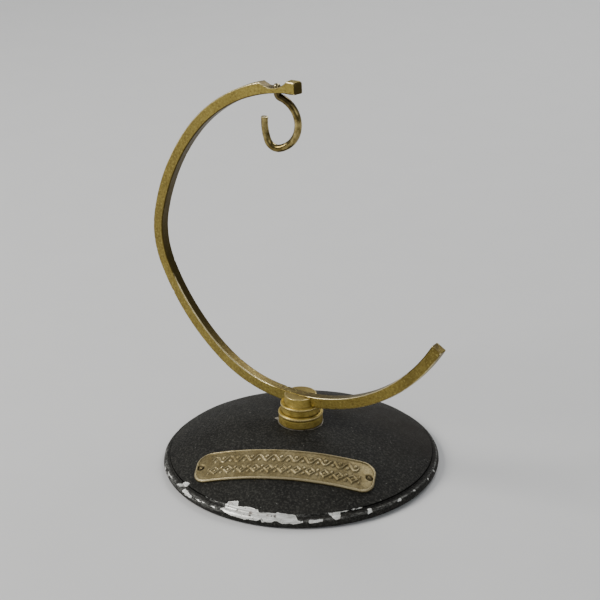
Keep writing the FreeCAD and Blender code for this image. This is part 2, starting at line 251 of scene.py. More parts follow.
def base_profile():
    """The casting's closed section as (r, z) points, and how far each lies below the dome's edge."""
    bead_centre = (BASE_RADIUS - BEAD_RADIUS, BEAD_RADIUS)
    edge_z = float(dome_height(DOME_EDGE_RADIUS))
    edge_slope = math.degrees(math.asin(DOME_EDGE_RADIUS / DOME_RADIUS))
    edge_round = 0.35
    round_centre = polar((DOME_EDGE_RADIUS - 0.1, edge_z), edge_round, -90 - edge_slope)
    seat_radius = math.sqrt(DOME_RADIUS ** 2 - (SEAT_Z - DOME_CENTRE_Z) ** 2)
    chipped_from = DOME_EDGE_RADIUS - 5.5
    coarse = np.linspace(seat_radius, chipped_from, 56)
    fine = np.linspace(chipped_from + 0.2, DOME_EDGE_RADIUS - edge_round, 24)
    dome = [(r, float(dome_height(r))) for r in np.concatenate([coarse, fine])]
    edge = arc_points(round_centre, edge_round, 90 - edge_slope, -8, 0.12)
    bead = arc_points(bead_centre, BEAD_RADIUS, 96, -90, 0.17)
    inner_sphere = DOME_RADIUS - BASE_WALL
    inner_radii = np.linspace(RIM_INNER_RADIUS, BOSS_RADIUS, 28)
    inner_dome = [(r, float(dome_height(r, inner_sphere))) for r in inner_radii]
    outside = divided([(BORE_RADIUS, SEAT_Z), (seat_radius - 0.1, SEAT_Z)], 1.5) + dome + edge + bead
    soft, bore_soft = 0.2, 0.15
    rim = [(bead_centre[0] - soft, 0), (RIM_INNER_RADIUS + soft, 0), (RIM_INNER_RADIUS, soft)]
    boss_side = [(BOSS_RADIUS, inner_dome[-1][1] - soft), (BOSS_RADIUS, BOSS_BOTTOM_Z + soft)]
    boss_end = [(BOSS_RADIUS - soft, BOSS_BOTTOM_Z), (BORE_RADIUS + bore_soft, BOSS_BOTTOM_Z)]
    bore = [(BORE_RADIUS, BOSS_BOTTOM_Z + bore_soft), (BORE_RADIUS, SEAT_Z - bore_soft)]
    underside = divided(rim, 1.2) + inner_dome + divided(boss_side, 2.0)
    underside += divided(boss_end, 1.5) + divided(bore, 2.5)
    profile = np.array(outside + underside)
    steps = np.linalg.norm(np.diff(profile, axis=0, prepend=profile[:1]), axis=1)
    travelled = np.cumsum(steps)
    below_edge = travelled - travelled[len(outside) - len(bead) - len(edge) // 2]
    return profile, below_edge, len(outside)


# Chips in the paint at the rim. Each outline is (degrees round the base, mm below the dome's edge).
CHIP_OUTLINES = [
    [
        (-89.6, 3.0), (-87.6, 1.0), (-87.4, -2.2), (-82.9, -3.8), (-82.4, -0.9), (-77.0, -1.8),
        (-73.3, -1.2), (-72.2, 0.2), (-64.2, -1.0), (-60.5, -0.4), (-57.5, -0.1), (-56.2, 2.6),
        (-54.0, 3.0), (-54.2, 3.8), (-58.0, 4.4), (-62.6, 4.5), (-64.0, 3.3), (-65.6, 3.4),
        (-66.2, 4.3), (-70.6, 4.6), (-71.6, 3.4), (-72.9, 4.4), (-79.0, 4.6), (-85.0, 4.1),
    ],
    [(-51.9, 2.6), (-46.2, 2.5), (-46.4, 3.9), (-51.5, 4.2)],
    [(-43.9, -0.2), (-38.7, -0.4), (-39.3, 3.5), (-41.4, 3.8)],
    [(-27.6, 4.2), (-27.0, 1.2), (-25.5, 1.1), (-25.7, 3.9)],
    [(-12.4, 3.7), (-11.7, 2.2), (-10.3, 2.4), (-10.8, 4.0)],
    [(-2.4, 2.9), (-1.9, 2.1), (-0.9, 2.5), (-1.3, 3.4)],
    [(9.3, 3.6), (9.6, 2.6), (10.6, 2.8), (10.3, 3.9)],
    [(17.0, 3.9), (17.1, 2.6), (17.9, 2.8), (17.9, 4.2)],
    [(-117.8, 3.7), (-115.4, 1.2), (-113.6, -0.8), (-111.2, -1.4), (-111.0, -0.2), (-114.6, 2.9)],
    [(-112.1, 4.1), (-111.4, 2.2), (-109.2, 2.3), (-105.0, 3.3), (-105.6, 4.4), (-109.5, 4.6)],
    [(126.0, 4.2), (129.0, 2.6), (134.5, 2.9), (137.0, 3.6), (133.0, 4.9)],
    [(78.0, 3.9), (80.2, 2.7), (82.5, 3.1), (81.0, 4.4)],
    [(-168.0, 3.3), (-165.4, 2.4), (-163.0, 3.6), (-165.6, 4.3)],
]
# Lines rubbed through the paint: (from degrees, to degrees, mm below the edge, width in mm).
RUBBED_LINES = [
    (-135.0, -127.0, 4.4, 0.45), (-129.0, -122.3, 3.4, 0.4), (-103.0, -92.0, 3.3, 0.3),
    (-98.5, -87.4, 0.0, 0.25), (-39.2, -33.0, 0.0, 0.25), (-33.0, -28.9, 0.0, 0.6),
    (100.0, 118.0, 3.3, 0.25), (165.0, 179.0, 3.3, 0.3),
]
# Stretches polished by handling, also given a painted sheen, a grey colour standing in for their glossy
# reflection: (from degrees, to degrees, mm below the edge, width in mm).
SCUFF_SHEEN_LINES = [
    (-150.0, -86.0, 2.9, 1.5), (-124.0, -89.0, 3.2, 2.2), (-58.0, -16.0, 2.9, 1.1),
    (-96.0, -40.0, 0.0, 0.7), (-16.0, 60.0, 2.7, 0.7), (90.0, 170.0, 2.9, 1.0),
]
DEGREE_MM = math.radians(1) * 62.8         # one degree along the crest of the bead
# The ring that the turning hub has rubbed bare, and where it is wider: (degrees, mm wider, mm long).
RING_RADIUS = 11.0
RING_HALF_WIDTH = 0.5
RING_FLECKS = [(-158.0, 1.8, 1.3), (-8.0, 0.4, 4.0)]


def outside_polygon(points, polygon):
    """Signed distance of 2-D points to a polygon, positive outside."""
    corners = np.array(polygon) * (DEGREE_MM, 1.0)
    nearest = np.full(len(points), 1e9)
    inside = np.zeros(len(points), dtype=bool)
    for a, b in zip(corners, np.roll(corners, -1, axis=0)):
        run = b - a
        t = np.clip((points - a) @ run / (run @ run), 0, 1)
        nearest = np.minimum(nearest, np.linalg.norm(points - a - t[:, None] * run, axis=1))
        crosses = (a[1] > points[:, 1]) != (b[1] > points[:, 1])
        rise = b[1] - a[1] if b[1] != a[1] else 1e-9
        meets_x = a[0] + (points[:, 1] - a[1]) * run[0] / rise
        inside ^= crosses & (points[:, 0] < meets_x)
    return np.where(inside, -nearest, nearest)


def off_band(flat, first, last, level):
    """Distance to a line along the rim between two angles, level millimetres below the edge."""
    middle, half = (first + last) / 2, (last - first) / 2
    past_end = np.maximum(np.abs(flat[:, 0] / DEGREE_MM - middle) - half, 0) * DEGREE_MM
    return np.hypot(past_end, flat[:, 1] - level)


def scuffing(degrees, below_edge, points):
    """How far the paint is polished by handling and painted grey as a sheen at each point, 0 to 1."""
    scuff = np.zeros(len(points))
    rim = (below_edge > -3) & (below_edge < 6)
    flat = np.stack([degrees[rim] * DEGREE_MM, below_edge[rim]], axis=1)
    patchy = 0.75 + 0.6 * noise_at(points[rim], 4.5, 9)
    for first, last, level, width in SCUFF_SHEEN_LINES:
        line = patchy * (1 - smooth_step(off_band(flat, first, last, level), 0.1 * width, width))
        scuff[rim] = np.maximum(scuff[rim], line)
    return scuff


def ring_cover(degrees, radius, points):
    """How far points by the hub's foot are inside the paint, in millimetres."""
    width = 0.4 * noise_at(points, 2.0, 6) - 0.05
    for middle, wider, length in RING_FLECKS:
        off_middle = np.abs(degrees - middle) * math.radians(1) * RING_RADIUS
        width += wider * np.exp(-((off_middle / length) ** 2))
    return radius - (RING_RADIUS - RING_HALF_WIDTH) - width


def paint_cover(degrees, below_edge, points):
    """How far each point is inside the paint, in millimetres; negative where it has chipped off."""
    well_covered = 3.0
    cover = np.full(len(points), well_covered)
    rim = (below_edge > -7) & (below_edge < 9.5)
    on_rim = points[rim]
    flat = np.stack([degrees[rim] * DEGREE_MM, below_edge[rim]], axis=1)
    flat[:, 0] += 0.55 * noise_at(on_rim, 1.9, 1) + 0.2 * noise_at(on_rim, 0.6, 2)
    flat[:, 1] += 0.4 * noise_at(on_rim, 1.6, 3) + 0.18 * noise_at(on_rim, 0.5, 4)
    rim_cover = np.full(len(on_rim), well_covered)
    for polygon in CHIP_OUTLINES:
        rim_cover = np.minimum(rim_cover, outside_polygon(flat, polygon))
    thin = 0.35 * noise_at(on_rim, 2.0, 5)
    for first, last, level, width in RUBBED_LINES:
        rim_cover = np.minimum(rim_cover, off_band(flat, first, last, level) - width / 2 - thin)
    cover[rim] = rim_cover
    radius = np.hypot(points[:, 0], points[:, 1])
    ring = (np.abs(radius - RING_RADIUS) < 2.5) & (points[:, 2] > SEAT_Z - 2)
    cover[ring] = np.minimum(cover[ring], ring_cover(degrees[ring], radius[ring], points[ring]))
    return cover


def painted_base():
    """The domed casting: chips in the paint are real steps down to the metal."""
    segments = 720
    profile, below_edge, outside_count = base_profile()
    normals = profile_normals(profile, closed=True)
    points, turn = revolved(profile, segments)
    degrees = (np.degrees(turn) + 180) % 360 - 180
    level = np.repeat(below_edge, segments)
    outside = np.repeat(np.arange(len(profile)) < outside_count, segments)
    cover = paint_cover(degrees, level, points)
    normal_r, normal_z = (np.repeat(normals[:, k], segments) for k in (0, 1))
    outward = np.stack([normal_r * np.cos(turn), normal_r * np.sin(turn), normal_z], axis=1)
    edge_slope = 0.12
    lift = PAINT_THICKNESS * (smooth_step(cover, -edge_slope, edge_slope) - 1)
    lift[~outside] = 0
    casting = outside & (points[:, 2] < SEAT_Z - 0.05) & (points[:, 2] > 0.3)
    lumps = 0.06 * noise_at(points[casting], 9.0, 7) + 0.02 * noise_at(points[casting], 2.2, 8)
    lift[casting] += lumps - 0.05
    points += outward * lift[:, None]
    faces = grid_faces(len(profile), segments, wrap_rows=True)
    base = piece(
        "painted_base", points, faces,
        cover=cover, scuff=scuffing(degrees, level, points), around=degrees * DEGREE_MM, below=level,
        under=(~outside).astype(float),
    )
    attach(base, "base")
    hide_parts("base_casting")
    return base


# --- the nameplate ---
def plate_half_width(along):
    """Half the plate's width at a distance along it, rounded at the corners."""
    into_corner = np.clip(np.abs(along) - (PLATE_LENGTH / 2 - PLATE_CORNER), 0, PLATE_CORNER)
    return PLATE_WIDTH / 2 - PLATE_CORNER + np.sqrt(PLATE_CORNER ** 2 - into_corner ** 2)


def plate_edge_distance(along, across):
    """How far a point lies inside the plate's rounded outline."""
    u = np.abs(along) - (PLATE_LENGTH / 2 - PLATE_CORNER)
    v = np.abs(across) - (PLATE_WIDTH / 2 - PLATE_CORNER)
    outside = np.hypot(np.maximum(u, 0), np.maximum(v, 0))
    return PLATE_CORNER - outside - np.minimum(np.maximum(u, v), 0)


def off_scroll(along, across, middle, half_length):
    """Distance to a running wave with a round bead in each bend; negative on it."""
    amplitude, period = 1.75, 6.6
    stroke, bead = 0.5, 0.85
    phase = 2 * math.pi * along / period
    slope = amplitude * 2 * math.pi / period * np.cos(phase)
    distance = np.abs(across - middle - amplitude * np.sin(phase)) / np.sqrt(1 + slope ** 2) - stroke
    for sign in (1, -1):
        nearest = period * (np.round(along / period - sign / 4) + sign / 4)
        off_bead = np.hypot(along - nearest, across - middle + sign * 0.6 * amplitude) - bead
        distance = np.minimum(distance, off_bead)
    return np.maximum(distance, np.abs(along) - half_length)


def off_lozenges(along, across, middle, half_length):
    """Distance to a chain of framed lozenges with beads between; negative on it."""
    period = 6.2
    half_size, frame_stroke, heart, bead, bead_height = 2.6, 0.42, 0.75, 0.7, 1.5
    beside = along - period * np.round(along / period)
    above = across - middle
    from_rim = (np.abs(beside) + np.abs(above) - half_size) * math.sqrt(0.5)
    framed = np.abs(from_rim + frame_stroke) - frame_stroke
    hearts = (np.abs(beside) + np.abs(above) - heart) * math.sqrt(0.5)
    beads = np.hypot(np.abs(beside) - period / 2, np.abs(above) - bead_height) - bead
    distance = np.minimum(np.minimum(framed, hearts), beads)
    return np.maximum(distance, np.abs(along) - half_length)


def off_pins(along, across):
    """Distance from the nearer pin's centre."""
    return np.hypot(np.abs(along) - PIN_SPACING / 2, across)


def on_dome(along, across, height):
    """Points over places on the plate, a height off the dome it is bent over."""
    x = PLATE_SHIFT + along
    out = np.sqrt((DOME_RADIUS + height) ** 2 - x ** 2 - across ** 2)
    tilt, turn = math.radians(PLATE_TILT), math.radians(PLATE_TURN)
    y = across * math.cos(tilt) - out * math.sin(tilt)
    z = DOME_CENTRE_Z + across * math.sin(tilt) + out * math.cos(tilt)
    turned_x = x * math.cos(turn) - y * math.sin(turn)
    turned_y = x * math.sin(turn) + y * math.cos(turn)
    return np.stack([turned_x, turned_y, z], axis=-1).reshape(-1, 3)


def plate_face(along, across):
    """The face's height over the dome, and how rubbed and how grimy it is, each 0 to 1."""
    flat = np.stack([along.ravel(), across.ravel(), np.zeros(along.size)], axis=1)
    swell = noise_at(flat, 7.0, 11).reshape(along.shape)
    pits = noise_at(flat, 1.1, 12).reshape(along.shape)
    inside = plate_edge_distance(along, across)
    upper = off_scroll(along, across, *SCROLL_ROW)
    lower = off_lozenges(along, across, *LOZENGE_ROW)
    ornament = np.minimum(upper, lower) + 0.2 * swell + 0.16 * pits
    lip = inside - PLATE_LIP
    raised = 1 - smooth_step(ornament, -0.28, 0.22)
    lip_raised = 1 - smooth_step(lip, -0.25, 0.3)
    recess = 1 - smooth_step(off_pins(along, across), 1.5, 1.8)
    relief = np.maximum(raised, lip_raised)
    height = PLATE_THICKNESS + RELIEF * relief - 0.6 * recess
    height += 0.08 * swell + 0.03 * pits - 0.3 * (1 - smooth_step(inside, 0.0, 0.4))
    rubbed = np.maximum(raised * (0.6 + 0.6 * swell), 0.8 * lip_raised) * (1 - recess)
    dirt_reach = 0.5
    by_ornament = 0.8 * np.exp(-np.maximum(ornament, 0) / dirt_reach)
    by_lip = 0.6 * np.exp(-np.maximum(lip, 0) / dirt_reach)
    grime = np.maximum(np.maximum(by_ornament, by_lip) * (1 - relief), recess)
    return height, rubbed, grime


def plate_stations():
    """Distances along the plate, close together at its rounded ends."""
    half = PLATE_LENGTH / 2
    bend = 1 - np.cos(np.linspace(0, math.pi / 2, 24)[1:])
    corner = half - PLATE_CORNER * bend
    middle = np.linspace(PLATE_CORNER - half, half - PLATE_CORNER, 330)[1:-1]
    return np.sort(np.concatenate([-corner, [-half], middle, corner, [half]]))


def nameplate_strip():
    """The stamped strip: a thin lip, ornament in relief, rubbed and slightly buckled."""
    stations = plate_stations()
    rows, side, under_side = len(stations), 104, 9
    crowding = 0.82 * math.pi / 2
    share = np.sin(np.linspace(-crowding, crowding, side)) / math.sin(crowding)
    under_share = np.linspace(-1, 1, under_side)
    half_width = plate_half_width(stations)[:, None]
    along, across = np.broadcast_arrays(stations[:, None], half_width * share)
    under_along, under_across = np.broadcast_arrays(stations[:, None], half_width * under_share)
    height, rubbed, grime = plate_face(along, across)
    top = on_dome(along, across, height)
    bottom = on_dome(under_along, under_across, np.full(under_along.shape, 0.1))
    faces = grid_faces(rows, side, wrap_columns=False)
    faces += grid_faces(rows, under_side, wrap_columns=False, first=len(top))
    for column, under_column in ((0, 0), (side - 1, under_side - 1)):
        for i in range(rows - 1):
            above, below = i * side + column, len(top) + i * under_side + under_column
            faces.append((above, above + side, below + under_side, below))
    for row in (0, rows - 1):
        upper_edge = [row * side + j for j in range(side)]
        lower_edge = [len(top) + row * under_side + j for j in range(under_side)]
        faces.append(tuple(upper_edge + lower_edge[::-1]))
    hidden = np.zeros(len(bottom))
    plate = piece(
        "stamped_plate", np.concatenate([top, bottom]), faces,
        rubbed=np.concatenate([rubbed.ravel(), hidden]),
        grime=np.concatenate([grime.ravel(), hidden]),
    )
    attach(plate, "base")
    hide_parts("nameplate")
    return plate


def plate_pins():
    """Two drive pins sunk in the plate, their heads hammered to a ridge."""
    segments = 32
    head = [
        (0.6, -2.2), (0.6, -0.5), (1.02, -0.48), (1.06, -0.3), (1.0, -0.16),
        (0.8, -0.08), (0.55, -0.03), (0.3, 0.0), (0.02, 0.01),
    ]
    radius, up = (column[:, None] for column in np.array(head).T)
    turn = full_turn(segments)
    beside = radius * np.cos(turn)
    above = radius * np.sin(turn)
    ridge_width, ridge_height = 0.55, 0.3
    ridge = np.exp(-(((beside + above) / ridge_width) ** 2)) * (up > -0.4)
    height = PLATE_THICKNESS + up + ridge_height * ridge
    faces = grid_faces(len(head), segments) + end_faces(len(head), segments)
    rubbed, grime = 0.4 * ridge, 1 - 0.7 * ridge
    pins = []
    for side in (-1, 1):
        points = on_dome(side * PIN_SPACING / 2 + beside, above, height)
        pin = piece(f"drive_pin_{len(pins) + 1}", points, faces, rubbed=rubbed, grime=grime)
        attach(pin, "base")
        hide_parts("nameplate_pins")
        pins.append(pin)
    return pins


# --- the hub ---
def turned_piece(name, profile, segments, seed):
    """A closed turned ring with slight lathe and wear unevenness."""
    profile = np.array(profile)
    points, _ = revolved(profile, segments)
    uneven = 1 + 0.0025 * noise_at(points, 4.0, seed)
    points[:, 0] *= uneven
    points[:, 1] *= uneven
    return piece(name, points, grid_faces(len(profile), segments, wrap_rows=True))


def hub_collar():
    """The wide lower ring, waisted under its beaded edge."""
    bead = 0.9
    centre = (COLLAR_RADIUS - bead, COLLAR_TOP_Z - bead)
    wall = COLLAR_RADIUS - 0.18
    bore, soft, foot_round = 4.1, 0.15, 0.3
    foot_centre = (wall - foot_round, COLLAR_BOTTOM_Z + foot_round)
    profile = divided([(bore + soft, COLLAR_BOTTOM_Z), (foot_centre[0], COLLAR_BOTTOM_Z)], 1.5)
    profile += arc_points(foot_centre, foot_round, -90, 0, 0.12)
    profile += divided([(wall - 0.02, COLLAR_BOTTOM_Z + 0.6), (wall - 0.12, centre[1] - 1.1)], 0.7)
    profile += arc_points(centre, bead, -55, 90, 0.12)
    profile += divided([(centre[0] - 0.2, COLLAR_TOP_Z), (bore + soft, COLLAR_TOP_Z)], 1.2)
    profile += divided([(bore, COLLAR_TOP_Z - soft), (bore, COLLAR_BOTTOM_Z + soft)], 1.2)
    collar = turned_piece("hub_collar", profile, 176, 31)
    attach(collar, "arm")
    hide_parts("foot_collar")
    return collar


def bar_underside_z(x):
    """The height of the bar's lower edge near the hub."""
    radius = NECK_ARCS[0][0] if x < 0 else TAIL_ARCS[0][0]
    centre_x, centre_z = polar((0.0, ARM_HUB_Z), radius, 90 + ARM_HUB_SLOPE)
    return centre_z - math.sqrt((radius + BAR_THICKNESS / 2) ** 2 - (x - centre_x) ** 2)


def slot_cutter():
    """A prism the shape of the slot: its floor follows the bar."""
    reach = 1.5 * DRUM_RADIUS
    top = DRUM_TOP_Z + 4
    outline = [(x, bar_underside_z(x)) for x in np.linspace(-reach, reach, 25)]
    outline += [(reach, top), (-reach, top)]
    count = len(outline)
    half = BAR_WIDTH / 2
    points = [(x, -half, z) for x, z in outline] + [(x, half, z) for x, z in outline]
    sides = [(k, (k + 1) % count, (k + 1) % count + count, k + count) for k in range(count)]
    caps = [tuple(range(count))[::-1], tuple(range(count, 2 * count))]
    return piece("slot_cutter", points, sides + caps)


def apply_modifiers(obj):
    """Turn an object's modifiers into its mesh."""
    evaluated = obj.evaluated_get(bpy.context.evaluated_depsgraph_get())
    shaped = bpy.data.meshes.new_from_object(evaluated)
    obj.modifiers.clear()
    obj.data = shaped


def cut_away(obj, tool):
    """Cut a closed tool out of an object, and remove the tool."""
    cut = obj.modifiers.new("cut", "BOOLEAN")
    cut.object = tool
    cut.operation = "DIFFERENCE"
    cut.solver = "EXACT"
    apply_modifiers(obj)
    bpy.data.objects.remove(tool)


def hub_post():
    """The stem, beaded flange and drum, slotted for the bar."""
    bead = 0.75
    centre = (FLANGE_RADIUS - bead, FLANGE_TOP_Z - bead)
    neck = FLANGE_RADIUS - 0.35
    bore, stem, bottom = 2.5, 4.0, POST_LOW[2]
    rim = 0.35
    rim_centre = (DRUM_RADIUS - rim, DRUM_TOP_Z - rim)
    profile = divided([(bore, bottom), (stem, bottom), (stem, COLLAR_TOP_Z)], 3.0)
    profile += divided([(neck - 0.2, COLLAR_TOP_Z), (neck, COLLAR_TOP_Z + 0.2)], 0.5)
    profile += divided([(neck - 0.08, COLLAR_TOP_Z + 1.0), (neck - 0.05, centre[1] - 0.95)], 0.8)
    profile += arc_points(centre, bead, -62, 90, 0.11)
    profile += divided([(centre[0] - 0.2, FLANGE_TOP_Z), (DRUM_RADIUS + 0.15, FLANGE_TOP_Z)], 0.5)
    profile += divided([(DRUM_RADIUS, FLANGE_TOP_Z + 0.15), (DRUM_RADIUS, rim_centre[1] - 0.1)], 0.8)
    profile += arc_points(rim_centre, rim, 0, 90, 0.1)
    profile += divided([(DRUM_RADIUS - 0.6, DRUM_TOP_Z), (bore, DRUM_TOP_Z)], 1.2)
    profile += divided([(bore, DRUM_TOP_Z - 1), (bore, bottom + 1)], 6.0)
    post = turned_piece("hub_post", profile, 176, 32)
    cut_away(post, slot_cutter())
    soften = post.modifiers.new("worn corners", "BEVEL")
    soften.width = 0.12 * MM
    soften.segments = 2
    soften.limit_method = "ANGLE"
    soften.angle_limit = math.radians(50)
    apply_modifiers(post)
    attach(post, "arm")
    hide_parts("slotted_post")
    return post


# --- the arm ---
def arm_stations():
    """The centre line from the tail's end to the tip: points, headings in degrees, distances."""
    hub_point = (0.0, ARM_HUB_Z)
    spacing = 0.45
    tail, tail_headings = chain_points(hub_point, ARM_HUB_SLOPE, TAIL_ARCS, 1, spacing)
    neck, neck_headings = chain_points(hub_point, 180 + ARM_HUB_SLOPE, NECK_ARCS, -1, spacing)
    points = np.array(tail[::-1] + neck[1:])
    headings = np.array([heading + 180 for heading in tail_headings[::-1]] + neck_headings[1:])
    distance = np.cumsum(np.linalg.norm(np.diff(points, axis=0, prepend=points[:1]), axis=1))
    return points, headings, distance


def bar_section():
    """Points round a square section: out, across, nearness to an arris, and which arris."""
    side_steps = (0.04, 0.1, 0.2, 0.35, 0.5, 0.65, 0.8, 0.9, 0.96)
    signs = [(1, 1), (-1, 1), (-1, -1), (1, -1)]
    half_out, half_across = BAR_THICKNESS / 2 - ARRIS_ROUND, BAR_WIDTH / 2 - ARRIS_ROUND
    centres = [(a * half_out, b * half_across) for a, b in signs]
    section = []
    for index in range(4):
        start = 90 * index
        for angle in np.linspace(start, start + 90, 6):
            on_arris = math.cos(math.radians((angle - start - 45) * 1.1))
            section.append((*polar(centres[index], ARRIS_ROUND, angle), on_arris, index))
        following = (index + 1) % 4
        run_start = np.array(polar(centres[index], ARRIS_ROUND, start + 90))
        run = np.array(polar(centres[following], ARRIS_ROUND, start + 90)) - run_start
        for step in side_steps:
            near_corner = min(step, 1 - step) * BAR_THICKNESS
            arris = index if step < 0.5 else following
            section.append((*(run_start + run * step), 0.75 * math.exp(-near_corner / 0.28), arris))
    return np.array(section)


def scallop_height(points, out_dirs, thickness):
    """How much of the bar's thickness the filed scallop leaves at each station."""
    centre = np.array([SCALLOP_X, HOOK_SEAT_Z + SCALLOP_RADIUS])
    to_centre = centre - (points - out_dirs * BAR_THICKNESS / 2)
    along_out = (to_centre * out_dirs).sum(axis=1)
    off_line = (to_centre ** 2).sum(axis=1) - along_out ** 2
    half_chord = np.sqrt(np.maximum(SCALLOP_RADIUS ** 2 - off_line, 0))
    filed = (half_chord > 0) & (points[:, 1] > HOOK_SEAT_Z - 20)
    return np.where(filed, np.minimum(along_out - half_chord, thickness), thickness)


def band(distance, first, last, blend=6.0):
    """1 between two distances, fading out round each."""
    rise = smooth_step(distance, first - blend, first + blend)
    return rise - smooth_step(distance, last - blend, last + blend)


def arris_wear(distance, arris, filed, from_end):
    """How bright each arris is rubbed along the bar: handled edges shine, others are dull."""
    far_outer, far_inner, near_inner, near_outer = ((arris == k).astype(float) for k in range(4))
    wear = 0.42 * far_outer + 0.38 * far_inner + 0.38 * near_inner + 0.34 * near_outer
    wear = wear + near_inner * (0.75 * band(distance, 103, 176) + 0.5 * band(distance, 22, 84))
    wear += near_outer * (0.85 * band(distance, 235, 330) + 0.5 * band(distance, 4, 76))
    wear -= near_outer * 0.35 * filed
    return wear + 0.7 * (1 - smooth_step(from_end, 0.3, 0.9))


def arm_rings(distance):
    """Where the bar's rings lie along it, and how much each is shrunk to soften the ends."""
    length = distance[-1]
    cap = [(0.0, 0.86), (0.0, 0.955), (0.03, 0.985), (0.12, 1.0)]
    clear = cap[-1][0] + 0.1
    inner = [(d, 1.0) for d in distance if clear < d < length - clear]
    return np.array(cap + inner + [(length - back, shrink) for back, shrink in reversed(cap)]).T


def arm_tone(place, shrink, on_flat, out, share):
    """How light the patina is, with painted shade: darker on the inner face of the curve and on the
    tip's end face, where shade falls, and darker in the scallop.
    """
    inside_shade = 0.7 + 0.5 * smooth_step(place, 110, 180)
    filed_drop, end_shade = 1.25, 1.15
    tip_end = (shrink < 0.97) & (place > 100)
    tone = np.interp(place, list(ARM_TONES), list(ARM_TONES.values()))
    # Painted shade on the inner face of the curve and on the tip's end face.
    tone = tone - inside_shade * (on_flat & (out < 0))
    tone = tone - filed_drop * (on_flat & (out > 0) & (share < FILED_SHARE))
    return tone - end_shade * tip_end


def bent_arm():
    """The filed square bar: uneven faces, softened arrises, the scallop and the two cut ends."""
    centre_line, headings, distance = arm_stations()
    length = distance[-1]
    place, shrink = arm_rings(distance)
    x, z, heading = (np.interp(place, distance, values) for values in (*centre_line.T, headings))
    z = z - TIP_DROP * smooth_step(place, length - 8.0, length - 2.0)
    heading = np.radians(heading)
    out_dirs = np.stack([-np.sin(heading), np.cos(heading)], axis=1)
    thickness = BAR_THICKNESS * (1 + TIP_SWELL * smooth_step(place, length - 45, length - 6))
    left = scallop_height(np.stack([x, z], axis=1), out_dirs, thickness)
    share = left / thickness
    stations = (place, shrink, x, z, left, share)
    place, shrink, x, z, left, share = (values[:, None] for values in stations)
    out_x, out_z = out_dirs[:, :1], out_dirs[:, 1:]
    out, across, nearness, arris = (row[None, :] for row in bar_section().T)
    height = ((out / BAR_THICKNESS + 0.5) * left - BAR_THICKNESS / 2) * shrink
    side = across * shrink
    rows, columns = height.shape
    flat = np.stack([x + out_x * height, side, z + out_z * height], -1).reshape(-1, 3)
    from_end = np.minimum(place, length - place)
    wear = nearness * arris_wear(place, arris, share < FILED_SHARE, from_end)
    wear = np.where(shrink < 0.9, 0.15, wear)
    knocked = np.clip(noise_at(flat, 1.7, 43) - 0.42, 0, 1).reshape(rows, columns) * nearness * 0.8
    swell = (0.06 * noise_at(flat, 16.0, 41) + 0.025 * noise_at(flat, 3.0, 42)).reshape(rows, columns)
    # The faces stay true where the hub holds the bar and where the hook turns in it.
    swell *= smooth_step(np.hypot(x, z - ARM_HUB_Z), 9.0, 13.0)
    swell *= smooth_step(np.hypot(x - HOOK_X, z - HOOK_SEAT_Z), 5.0, 12.0)
    skin = 0.45
    on_side = np.abs(across) > BAR_WIDTH / 2 - skin
    on_flat = np.abs(out) > BAR_THICKNESS / 2 - skin
    side = side - np.sign(across) * on_side * knocked
    height = height + np.sign(out) * on_flat * (swell - knocked)
    oblique = smooth_step(place, length - 4.0, length) * (TIP_REACH + TIP_SKEW * side)
    points = np.stack([x + out_x * height + oblique, side, z + out_z * height], -1)
    side_offset = 10.0
    unrolled = np.where(on_side, out + side_offset, across)
    arm = piece(
        "bent_arm", points.reshape(-1, 3), grid_faces(rows, columns) + end_faces(rows, columns),
        wear=wear, tone=arm_tone(place, shrink, on_flat, out, share),
        along=np.broadcast_to(place, wear.shape), across=np.broadcast_to(unrolled, wear.shape),
    )
    drill_hook_hole(arm)
    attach(arm, "arm")
    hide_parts("arm_bar")
    return arm


def drill_hook_hole(arm):
    """Cut the hook's hole through the bar with a stepped round tool."""
    centre, hole, segments = 0.01, WIRE_RADIUS + 0.08, 40
    bottom, top = HOOK_SEAT_Z - 12, HOOK_SEAT_Z + 6
    profile = [(centre, bottom), (hole, bottom), (hole, HOOK_SEAT_Z)]
    profile += [(HEAD_RECESS_RADIUS, HOOK_SEAT_Z), (HEAD_RECESS_RADIUS, top), (centre, top)]
    points, _ = revolved(np.array(profile), segments)
    points[:, 0] += HOOK_X
    drill = piece("drill", points, grid_faces(len(profile), segments, wrap_rows=True))
    cut_away(arm, drill)


# --- the hook ---
def hook_rings():
    """Rings along the wire from the head's top: x, z, heading in degrees, radius and wear."""
    neck, neck_headings = chain_points((0.0, HOOK_BEND_Z), -90, [HOOK_NECK], 1, 0.25)
    bowl, bowl_headings = chain_points(neck[-1], -90 + HOOK_NECK[1], HOOK_ARCS, -1, 0.35)
    seat = HOOK_SEAT_Z + 0.06
    head = [(1.85, 0.06), (1.83, 0.3), (1.7, 0.57), (1.4, 0.78), (1.0, 0.92), (0.5, 0.98), (0.12, 1.0)]
    cut_end = ((0.05, 1.62), (0.11, 1.54), (0.14, 1.4), (0.14, 0.8))
    rings = [(HOOK_HEAD_SHIFT, seat + up, -90.0, share * HOOK_HEAD_RADIUS, 0.7) for up, share in head]
    rings += [(0.0, seat, -90.0, WIRE_RADIUS, 0.4)]
    rings += [(0.0, z, -90.0, WIRE_RADIUS, 0.0) for z in np.arange(seat - 0.3, HOOK_BEND_Z + 0.1, -0.4)]
    for (x, z), heading in zip(neck + bowl[1:], neck_headings + bowl_headings[1:]):
        rings.append((x, z, heading, WIRE_RADIUS, 0.0))
    x, z, heading, _, _ = rings[-1]
    for beyond, radius in cut_end:
        rings.append((*polar((x, z), beyond, heading), heading, radius, 1.0))
    return np.array(rings)


